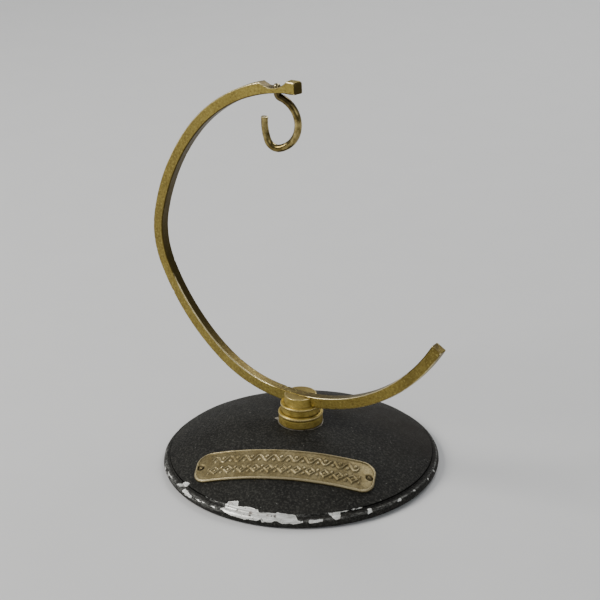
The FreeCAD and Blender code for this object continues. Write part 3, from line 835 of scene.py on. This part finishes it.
def bent_hook():
    """The wire hook: hammered head, short shank, tight neck, bowl and a square-cut end."""
    x, z, heading, radius, wear = (column[:, None] for column in hook_rings().T)
    rings, segments = len(x), 32
    turn = full_turn(segments)[None, :]
    slant = np.radians(heading)
    thinner = 0.06
    taper = 1 - thinner * smooth_step(np.arange(rings)[:, None], rings - 45, rings - 12)
    reach = radius * taper
    rough = np.stack([x + reach * np.cos(turn), reach * np.sin(turn), z + 0 * turn], axis=-1)
    rough = rough.reshape(-1, 3)
    dents = 0.02 * noise_at(rough, 4.0, 51) + 0.006 * noise_at(rough, 0.9, 52)
    reach = reach * (1 + dents.reshape(rings, segments) * (1 + 3 * wear))
    forward = x - np.sin(slant) * reach * np.cos(turn)
    across = reach * np.sin(turn)
    up = z + np.cos(slant) * reach * np.cos(turn)
    yaw = math.radians(HOOK_YAW)
    points = np.stack([
        HOOK_X + forward * math.cos(yaw) - across * math.sin(yaw),
        forward * math.sin(yaw) + across * math.cos(yaw),
        up,
    ], axis=-1).reshape(-1, 3)
    faces = grid_faces(rings, segments) + end_faces(rings, segments)
    hook = piece("wire_hook", points, faces, wear=np.broadcast_to(wear, reach.shape))
    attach(hook, "hook")
    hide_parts("swivel_hook")
    return hook


# --- material helpers ---
class Graph:
    """Builds one material's node tree."""

    def __init__(self, name):
        self.material = bpy.data.materials.new(name)
        self.material.use_nodes = True
        self.tree = self.material.node_tree
        self.tree.nodes.clear()
        self.coords = self.node("ShaderNodeTexCoord").outputs["Object"]

    def node(self, kind, inputs=None, **settings):
        """A node of a kind; inputs maps names or numbers to a value or to a socket to link."""
        made = self.tree.nodes.new(kind)
        for key, value in settings.items():
            setattr(made, key, value)
        for key, value in (inputs or {}).items():
            socket = made.inputs[key]
            if isinstance(value, bpy.types.NodeSocket):
                self.tree.links.new(value, socket)
            else:
                socket.default_value = value
        return made

    def math(self, operation, a, b=0.0, clamp=False):
        made = self.node("ShaderNodeMath", {0: a, 1: b}, operation=operation, use_clamp=clamp)
        return made.outputs[0]

    def attribute(self, name):
        return self.node("ShaderNodeAttribute", attribute_name=name).outputs["Fac"]

    def axis(self, name):
        """One coordinate of each point, in metres."""
        return self.node("ShaderNodeSeparateXYZ", {0: self.coords}).outputs[name]

    def from_axis(self):
        """Each point's distance from the Z axis, in metres."""
        flat = self.vector(self.axis("X"), self.axis("Y"))
        return self.node("ShaderNodeVectorMath", {0: flat}, operation="LENGTH").outputs["Value"]

    def noise(self, grain_mm, detail=2.0, roughness=0.5, vector=None):
        """Noise from 0 to 1 with lumps of a size in millimetres."""
        inputs = {
            "Vector": vector or self.coords, "Scale": 1 / (grain_mm * MM),
            "Detail": detail, "Roughness": roughness,
        }
        return self.node("ShaderNodeTexNoise", inputs).outputs["Fac"]

    def uneven(self, grain_mm, amount):
        """Noise either side of zero, for breaking up an edge."""
        return self.times(self.math("SUBTRACT", self.noise(grain_mm, 3.0, 0.6), 0.5), amount)

    def times(self, a, b):
        return self.math("MULTIPLY", a, b)

    def plus(self, a, b):
        return self.math("ADD", a, b)

    def vector(self, x, y, z=0.0):
        return self.node("ShaderNodeCombineXYZ", {0: x, 1: y, 2: z}).outputs[0]

    def span(self, value, low, high, to_low=0.0, to_high=1.0):
        """value from low..high spread smoothly over to_low..to_high."""
        inputs = {"Value": value, "From Min": low, "From Max": high, "To Min": to_low, "To Max": to_high}
        return self.node("ShaderNodeMapRange", inputs, interpolation_type="SMOOTHSTEP").outputs["Result"]

    def mix(self, share, a, b):
        """Colour a at share 0, colour b at share 1."""
        made = self.node("ShaderNodeMix", data_type="RGBA")
        for socket, value in zip((made.inputs[0], made.inputs[6], made.inputs[7]), (share, a, b)):
            if isinstance(value, bpy.types.NodeSocket):
                self.tree.links.new(value, socket)
            else:
                socket.default_value = value
        return made.outputs[2]

    def tint(self, base, colour, pattern, low, high, amount=1.0):
        """The base colour, with another laid over it as a pattern goes from low to high."""
        return self.mix(self.times(self.span(pattern, low, high), amount), base, colour)

    def ramps(self, radius, height, places):
        """The largest share over places given as (r from, r to, z from, z to)."""
        most = 0.0
        for r_from, r_to, z_from, z_to in places:
            share = self.times(self.span(radius, r_from, r_to), self.span(height, z_from, z_to))
            most = self.math("MAXIMUM", most, share)
        return most

    def blend(self, share, a, b):
        """Number a at share 0, number b at share 1."""
        return self.node("ShaderNodeMix", {0: share, 2: a, 3: b}, data_type="FLOAT").outputs[0]

    def bumps(self, *layers):
        """The surface's normal under layers of relief, each a height and its depth in mm."""
        inputs = {"Strength": 1.0}
        for height, depth_mm in layers:
            inputs |= {"Height": height, "Distance": depth_mm * MM}
            inputs["Normal"] = self.node("ShaderNodeBump", inputs).outputs[0]
        return inputs["Normal"]

    def finish(self, **inputs):
        """The Principled shader, with input names given as words_with_underscores."""
        named = {key.replace("_", " ").title().replace("Ior", "IOR"): inputs[key] for key in inputs}
        shader = self.node("ShaderNodeBsdfPrincipled", named)
        self.node("ShaderNodeOutputMaterial", {"Surface": shader.outputs[0]})
        return self.material


def rgb(red, green, blue):
    """An opaque colour, in linear light."""
    return (red, green, blue, 1.0)


# --- materials ---
def chipped_paint():
    """Grainy satin black paint over a pale cast metal, which shows in the chips."""
    g = Graph("chipped black paint")
    painted = g.span(g.plus(g.attribute("cover"), g.uneven(0.35, 0.55)), -0.03, 0.05)
    bare = g.math("SUBTRACT", 1.0, painted)
    under = g.attribute("under")
    below = g.attribute("below")
    grain = g.noise(1.0, 4.0, 0.7)
    fine = g.noise(0.28, 2.0, 0.6)
    broad = g.noise(14.0, 4.0, 0.6)
    towards_back = g.plus(g.axis("Y"), g.uneven(12.0, 0.03))
    crease_shade = g.span(g.math("ABSOLUTE", below), 0.50, 0.15)
    black = g.mix(g.span(broad, 0.3, 0.7), rgb(0.0110, 0.0106, 0.0092), rgb(0.0195, 0.0190, 0.0165))
    black = g.tint(black, rgb(0.068, 0.066, 0.057), grain, 0.44, 0.70, 0.75)
    black = g.tint(black, rgb(0.20, 0.20, 0.18), g.noise(1.1, 1.0), 0.74, 0.77, 0.7)
    black = g.tint(black, rgb(0.020, 0.015, 0.010), towards_back, 0.0, 0.04, 0.5)
    # Painted shade: the crease at the dome's edge, over the step down to the bead, is darkened almost to
    # black.
    black = g.mix(g.times(crease_shade, 0.9), black, rgb(0.002, 0.002, 0.002))
    black = g.mix(under, black, rgb(0.045, 0.043, 0.040))
    strokes = g.vector(g.times(g.attribute("around"), 0.05 * MM), g.times(below, MM))
    streaks = g.noise(0.28, 4.0, 0.7, vector=strokes)
    polish_and_sheen = g.times(g.attribute("scuff"), g.span(g.plus(streaks, g.uneven(1.2, 0.5)), 0.42, 0.66))
    # Partly real wear, partly painted sheen: the polished paint gets a grey colour that stands in for
    # its glossy reflection.
    black = g.mix(g.times(polish_and_sheen, 0.85), black, rgb(0.24, 0.24, 0.22))
    by_hub = g.span(g.from_axis(), (COLLAR_RADIUS + 3.0) * MM, (COLLAR_RADIUS + 1.5) * MM)
    metal = g.mix(g.span(streaks, 0.35, 0.62), rgb(0.50, 0.50, 0.46), rgb(1.0, 1.0, 0.95))
    metal = g.tint(metal, rgb(0.50, 0.44, 0.40), g.noise(2.6, 2.0), 0.55, 0.8)
    metal = g.tint(metal, rgb(0.045, 0.043, 0.036), g.noise(1.3, 3.0, 0.6), 0.60, 0.66, 0.85)
    metal = g.mix(g.times(by_hub, 0.8), metal, rgb(0.20, 0.17, 0.12))
    rough_paint = g.plus(g.blend(g.span(broad, 0.3, 0.75), 0.55, 0.70), g.times(under, 0.2))
    shine = g.times(g.blend(polish_and_sheen, 0.1, 0.6), g.blend(g.times(crease_shade, painted), 1.0, 0.0))
    return g.finish(
        base_color=g.mix(painted, metal, black),
        roughness=g.blend(painted, 0.38, g.blend(polish_and_sheen, rough_paint, 0.3)),
        metallic=g.times(bare, 0.5),
        specular_ior_level=shine,
        normal=g.bumps(
            (broad, 0.14), (g.times(grain, painted), 0.4), (g.times(fine, painted), 0.05),
            (g.times(streaks, bare), 0.05), (painted, 0.08),
        ),
    )


def plate_brass():
    """Thin stamped brass: dull grey-green in its hollows, rubbed on the relief and the lip."""
    g = Graph("stamped brass")
    blotch = g.noise(5.5, 4.0, 0.6)
    fine = g.noise(0.35, 4.0, 0.65)
    mottle = g.noise(0.9, 4.0, 0.7)
    field = g.mix(g.span(blotch, 0.35, 0.68), rgb(0.225, 0.175, 0.076), rgb(0.330, 0.270, 0.135))
    field = g.tint(field, rgb(0.120, 0.100, 0.055), mottle, 0.5, 0.66, 0.7)
    field = g.tint(field, rgb(0.470, 0.390, 0.210), mottle, 0.44, 0.32, 0.5)
    field = g.tint(field, rgb(0.115, 0.088, 0.040), fine, 0.5, 0.8, 0.4)
    worn = g.span(g.plus(g.attribute("rubbed"), g.uneven(0.5, 1.0)), 0.3, 1.1)
    dirt = g.times(g.attribute("grime"), g.span(fine, 0.3, 0.6, 0.5, 0.95))
    colour = g.mix(worn, field, rgb(0.60, 0.505, 0.295))
    return g.finish(
        base_color=g.mix(dirt, colour, rgb(0.030, 0.021, 0.010)),
        roughness=g.plus(g.blend(worn, 0.50, 0.33), g.times(dirt, 0.2)),
        metallic=0.88,
        normal=g.bumps((fine, 0.05), (blotch, 0.14)),
    )


def arm_brass():
    """Filed bar brass: golden-olive patina, file strokes along it, arrises rubbed bright."""
    g = Graph("filed brass bar")
    along = g.times(g.attribute("along"), 0.06 * MM)
    across = g.times(g.attribute("across"), MM)
    strokes = g.noise(0.30, 4.0, 0.65, vector=g.vector(along, across))
    blotch = g.noise(9.0, 4.0, 0.6)
    patches = g.noise(2.4, 3.0, 0.6)
    fine = g.noise(0.3, 3.0, 0.6)
    mottle = g.noise(1.1, 4.0, 0.7)
    tone = g.attribute("tone")
    lightness = g.math("ADD", tone, g.uneven(9.0, 0.9), clamp=True)
    patina = g.mix(lightness, rgb(0.105, 0.074, 0.014), rgb(0.345, 0.268, 0.064))
    patina = g.tint(patina, rgb(0.125, 0.074, 0.016), mottle, 0.50, 0.66, 0.7)
    patina = g.tint(patina, rgb(0.55, 0.45, 0.135), mottle, 0.46, 0.32, 0.6)
    patina = g.tint(patina, rgb(0.095, 0.066, 0.015), patches, 0.55, 0.75, 0.45)
    patina = g.tint(patina, rgb(0.40, 0.315, 0.10), strokes, 0.45, 0.75, 0.3)
    # Painted shade: where the tone is low, on the inner face and the tip's end face, and in the darker
    # scallop, the patina goes near-black.
    patina = g.tint(patina, rgb(0.062, 0.043, 0.008), tone, 0.1, -0.5, 0.85)
    worn = g.span(g.plus(g.attribute("wear"), g.uneven(2.2, 0.9)), 0.42, 1.05)
    colour = g.mix(worn, patina, rgb(0.82, 0.70, 0.38))
    brushed = g.blend(g.span(strokes, 0.35, 0.7), 0.46, 0.35)
    return g.finish(
        base_color=g.tint(colour, rgb(0.055, 0.036, 0.010), g.noise(0.8, 2.0), 0.69, 0.75, 0.6),
        roughness=g.blend(worn, g.plus(brushed, g.uneven(9.0, 0.2)), 0.26),
        metallic=0.85,
        normal=g.bumps((strokes, 0.04), (fine, 0.02), (patches, 0.05), (blotch, 0.1)),
    )


def hub_brass():
    """Turned brass: lathe lines round it, beads and rims rubbed bright, grime in the corners."""
    g = Graph("turned brass hub")
    from_axis = g.from_axis()
    z = g.axis("Z")
    radius = g.math("DIVIDE", from_axis, MM)
    height = g.math("DIVIDE", z, MM)
    rings = g.noise(0.22, 3.0, 0.6, vector=g.vector(from_axis, z))
    blotch = g.noise(4.5, 4.0, 0.6)
    fine = g.noise(0.3, 3.0, 0.6)
    rims = [
        (COLLAR_RADIUS - 0.5, COLLAR_RADIUS, COLLAR_TOP_Z - 1.9, COLLAR_TOP_Z - 1.0),
        (FLANGE_RADIUS - 0.4, FLANGE_RADIUS, FLANGE_TOP_Z - 1.7, FLANGE_TOP_Z - 0.9),
        (DRUM_RADIUS - 0.9, DRUM_RADIUS - 0.3, DRUM_TOP_Z - 0.4, DRUM_TOP_Z - 0.1),
    ]
    corners = [
        (COLLAR_RADIUS - 0.6, FLANGE_RADIUS - 0.5, COLLAR_TOP_Z + 0.8, COLLAR_TOP_Z),
        (DRUM_RADIUS + 0.7, DRUM_RADIUS + 0.1, FLANGE_TOP_Z + 0.9, FLANGE_TOP_Z + 0.1),
    ]
    foot = g.span(height, COLLAR_BOTTOM_Z + 0.7, COLLAR_BOTTOM_Z)
    grime = g.math("MAXIMUM", g.ramps(radius, height, corners), foot)
    patina = g.mix(g.span(blotch, 0.3, 0.7), rgb(0.31, 0.225, 0.042), rgb(0.54, 0.415, 0.104))
    patina = g.tint(patina, rgb(0.16, 0.095, 0.022), g.noise(1.1, 4.0, 0.7), 0.5, 0.68, 0.6)
    patina = g.tint(patina, rgb(0.16, 0.105, 0.026), rings, 0.5, 0.8, 0.4)
    patina = g.tint(patina, rgb(0.105, 0.075, 0.022), height, DRUM_TOP_Z - 0.15, DRUM_TOP_Z - 0.05, 0.6)
    worn = g.span(g.plus(g.ramps(radius, height, rims), g.uneven(2.5, 1.0)), 0.35, 1.1)
    dirt = g.times(grime, g.span(fine, 0.2, 0.6, 0.15, 0.45))
    colour = g.mix(worn, patina, rgb(0.62, 0.49, 0.20))
    return g.finish(
        base_color=g.mix(dirt, colour, rgb(0.050, 0.034, 0.012)),
        roughness=g.blend(worn, 0.48, 0.27),
        metallic=0.78,
        normal=g.bumps((rings, 0.03), (fine, 0.02), (blotch, 0.05)),
    )


def hook_brass():
    """Drawn wire: darker and browner than the bar, with its head and cut end hammered bright."""
    g = Graph("brass wire")
    blotch = g.noise(3.2, 4.0, 0.6)
    fine = g.noise(0.28, 3.0, 0.6)
    height = g.math("DIVIDE", g.axis("Z"), MM)
    patina = g.mix(g.span(blotch, 0.35, 0.68), rgb(0.130, 0.094, 0.026), rgb(0.420, 0.335, 0.135))
    # Painted shadow: the wire is darkened from just under the bar upwards, where the bar's shadow falls
    # on it.
    patina = g.tint(patina, rgb(0.055, 0.036, 0.012), height, HOOK_BEND_Z - 8.0, HOOK_BEND_Z - 3.0, 0.75)
    patina = g.tint(patina, rgb(0.080, 0.054, 0.015), fine, 0.5, 0.8, 0.4)
    worn = g.span(g.plus(g.attribute("wear"), g.uneven(1.2, 0.8)), 0.45, 1.0)
    return g.finish(
        base_color=g.mix(worn, patina, rgb(0.70, 0.60, 0.34)),
        roughness=g.blend(worn, g.plus(0.17, g.uneven(3.0, 0.12)), 0.24),
        metallic=0.95,
        normal=g.bumps((fine, 0.03), (blotch, 0.03)),
    )


def fastener_steel():
    """Plain steel with a little rust, for the screw and washers under the base."""
    g = Graph("fastener steel")
    blotch = g.noise(1.8, 4.0, 0.65)
    fine = g.noise(0.2, 3.0, 0.6)
    steel = g.mix(g.span(fine, 0.3, 0.7), rgb(0.30, 0.30, 0.30), rgb(0.46, 0.46, 0.47))
    rust = g.span(blotch, 0.56, 0.72)
    return g.finish(
        base_color=g.mix(g.times(rust, 0.8), steel, rgb(0.11, 0.05, 0.022)),
        roughness=g.blend(rust, 0.36, 0.75),
        metallic=g.blend(rust, 1.0, 0.35),
        normal=g.bumps((fine, 0.015), (blotch, 0.04)),
    )


def pale_floor():
    """A plain pale surface with a barely visible grain."""
    g = Graph("pale floor")
    colour = g.mix(g.noise(30.0, 3.0), rgb(0.70, 0.70, 0.69), rgb(0.73, 0.73, 0.72))
    return g.finish(base_color=colour, roughness=0.75)


def paint(obj, material):
    """Make a material the object's only one."""
    obj.data.materials.clear()
    obj.data.materials.append(material)


# --- the set: floor, light and camera ---
def build_floor():
    """A floor just under the base, so that the two don't share a plane."""
    half = 3000.0
    under = -0.02
    corners = [(-half, -half, under), (half, -half, under), (half, half, under), (-half, half, under)]
    floor = piece("floor", corners, [(0, 1, 2, 3)])
    paint(floor, pale_floor())


def area_light(name, place, size, power, tint):
    """A square soft light at a place in metres, aimed at the middle of the stand."""
    data = bpy.data.lights.new(name, "AREA")
    data.size = size
    data.energy = power
    data.color = tint
    light = bpy.data.objects.new(name, data)
    light.location = place
    aim = Vector((0, 0, 0.08)) - light.location
    light.rotation_euler = aim.to_track_quat("-Z", "Y").to_euler()
    bpy.context.collection.objects.link(light)


def build_light():
    """A pale room with one soft key, a weak fill from the right and a light behind."""
    world = bpy.data.worlds.new("soft room")
    world.use_nodes = True
    background = world.node_tree.nodes["Background"]
    background.inputs["Color"].default_value = rgb(0.92, 0.95, 1.0)
    background.inputs["Strength"].default_value = 0.30
    bpy.context.scene.world = world
    area_light("key", place=(-0.85, -0.85, 1.0), size=0.7, power=21.0, tint=(1.0, 0.98, 0.95))
    area_light("fill", place=(1.2, -0.5, 0.8), size=0.9, power=2.5, tint=(0.95, 0.97, 1.0))
    area_light("back", place=(-0.2, 1.1, 1.1), size=0.8, power=9.0, tint=(1.0, 1.0, 1.0))


def build_camera():
    """The camera looks down at the stand from the front right, with a long lens."""
    azimuth, elevation, roll = (math.radians(angle) for angle in (35.52, 23.26, -0.81))
    distance = 0.76
    aim = Vector((0.0065, -0.0084, 0.085))
    level = Vector((-math.sin(azimuth), math.cos(azimuth), 0))
    view = level * math.cos(elevation) - Vector((0, 0, math.sin(elevation)))
    level_right = Vector((math.cos(azimuth), math.sin(azimuth), 0))
    level_up = level_right.cross(view)
    right = level_right * math.cos(roll) + level_up * math.sin(roll)
    up = level_up * math.cos(roll) - level_right * math.sin(roll)
    data = bpy.data.cameras.new("camera")
    data.lens = 103.9
    data.sensor_width = 36.0
    camera = bpy.data.objects.new("camera", data)
    turn = Matrix((right, up, -view)).transposed().to_4x4()
    camera.matrix_world = Matrix.Translation(aim - view * distance) @ turn
    bpy.context.collection.objects.link(camera)
    bpy.context.scene.camera = camera


# --- everything together ---
def build_stand():
    """Every piece of the stand with its material; the fasteners keep their CAD shapes."""
    paint(painted_base(), chipped_paint())
    stamped = plate_brass()
    paint(nameplate_strip(), stamped)
    for pin in plate_pins():
        paint(pin, stamped)
    turned = hub_brass()
    paint(hub_collar(), turned)
    paint(hub_post(), turned)
    paint(bent_arm(), arm_brass())
    paint(bent_hook(), hook_brass())
    steel = fastener_steel()
    for node in ("clamp_screw", "spring_washer", "plain_washer"):
        paint(frame["nodes"][node], steel)


build_camera()
build_light()
build_floor()
build_stand()
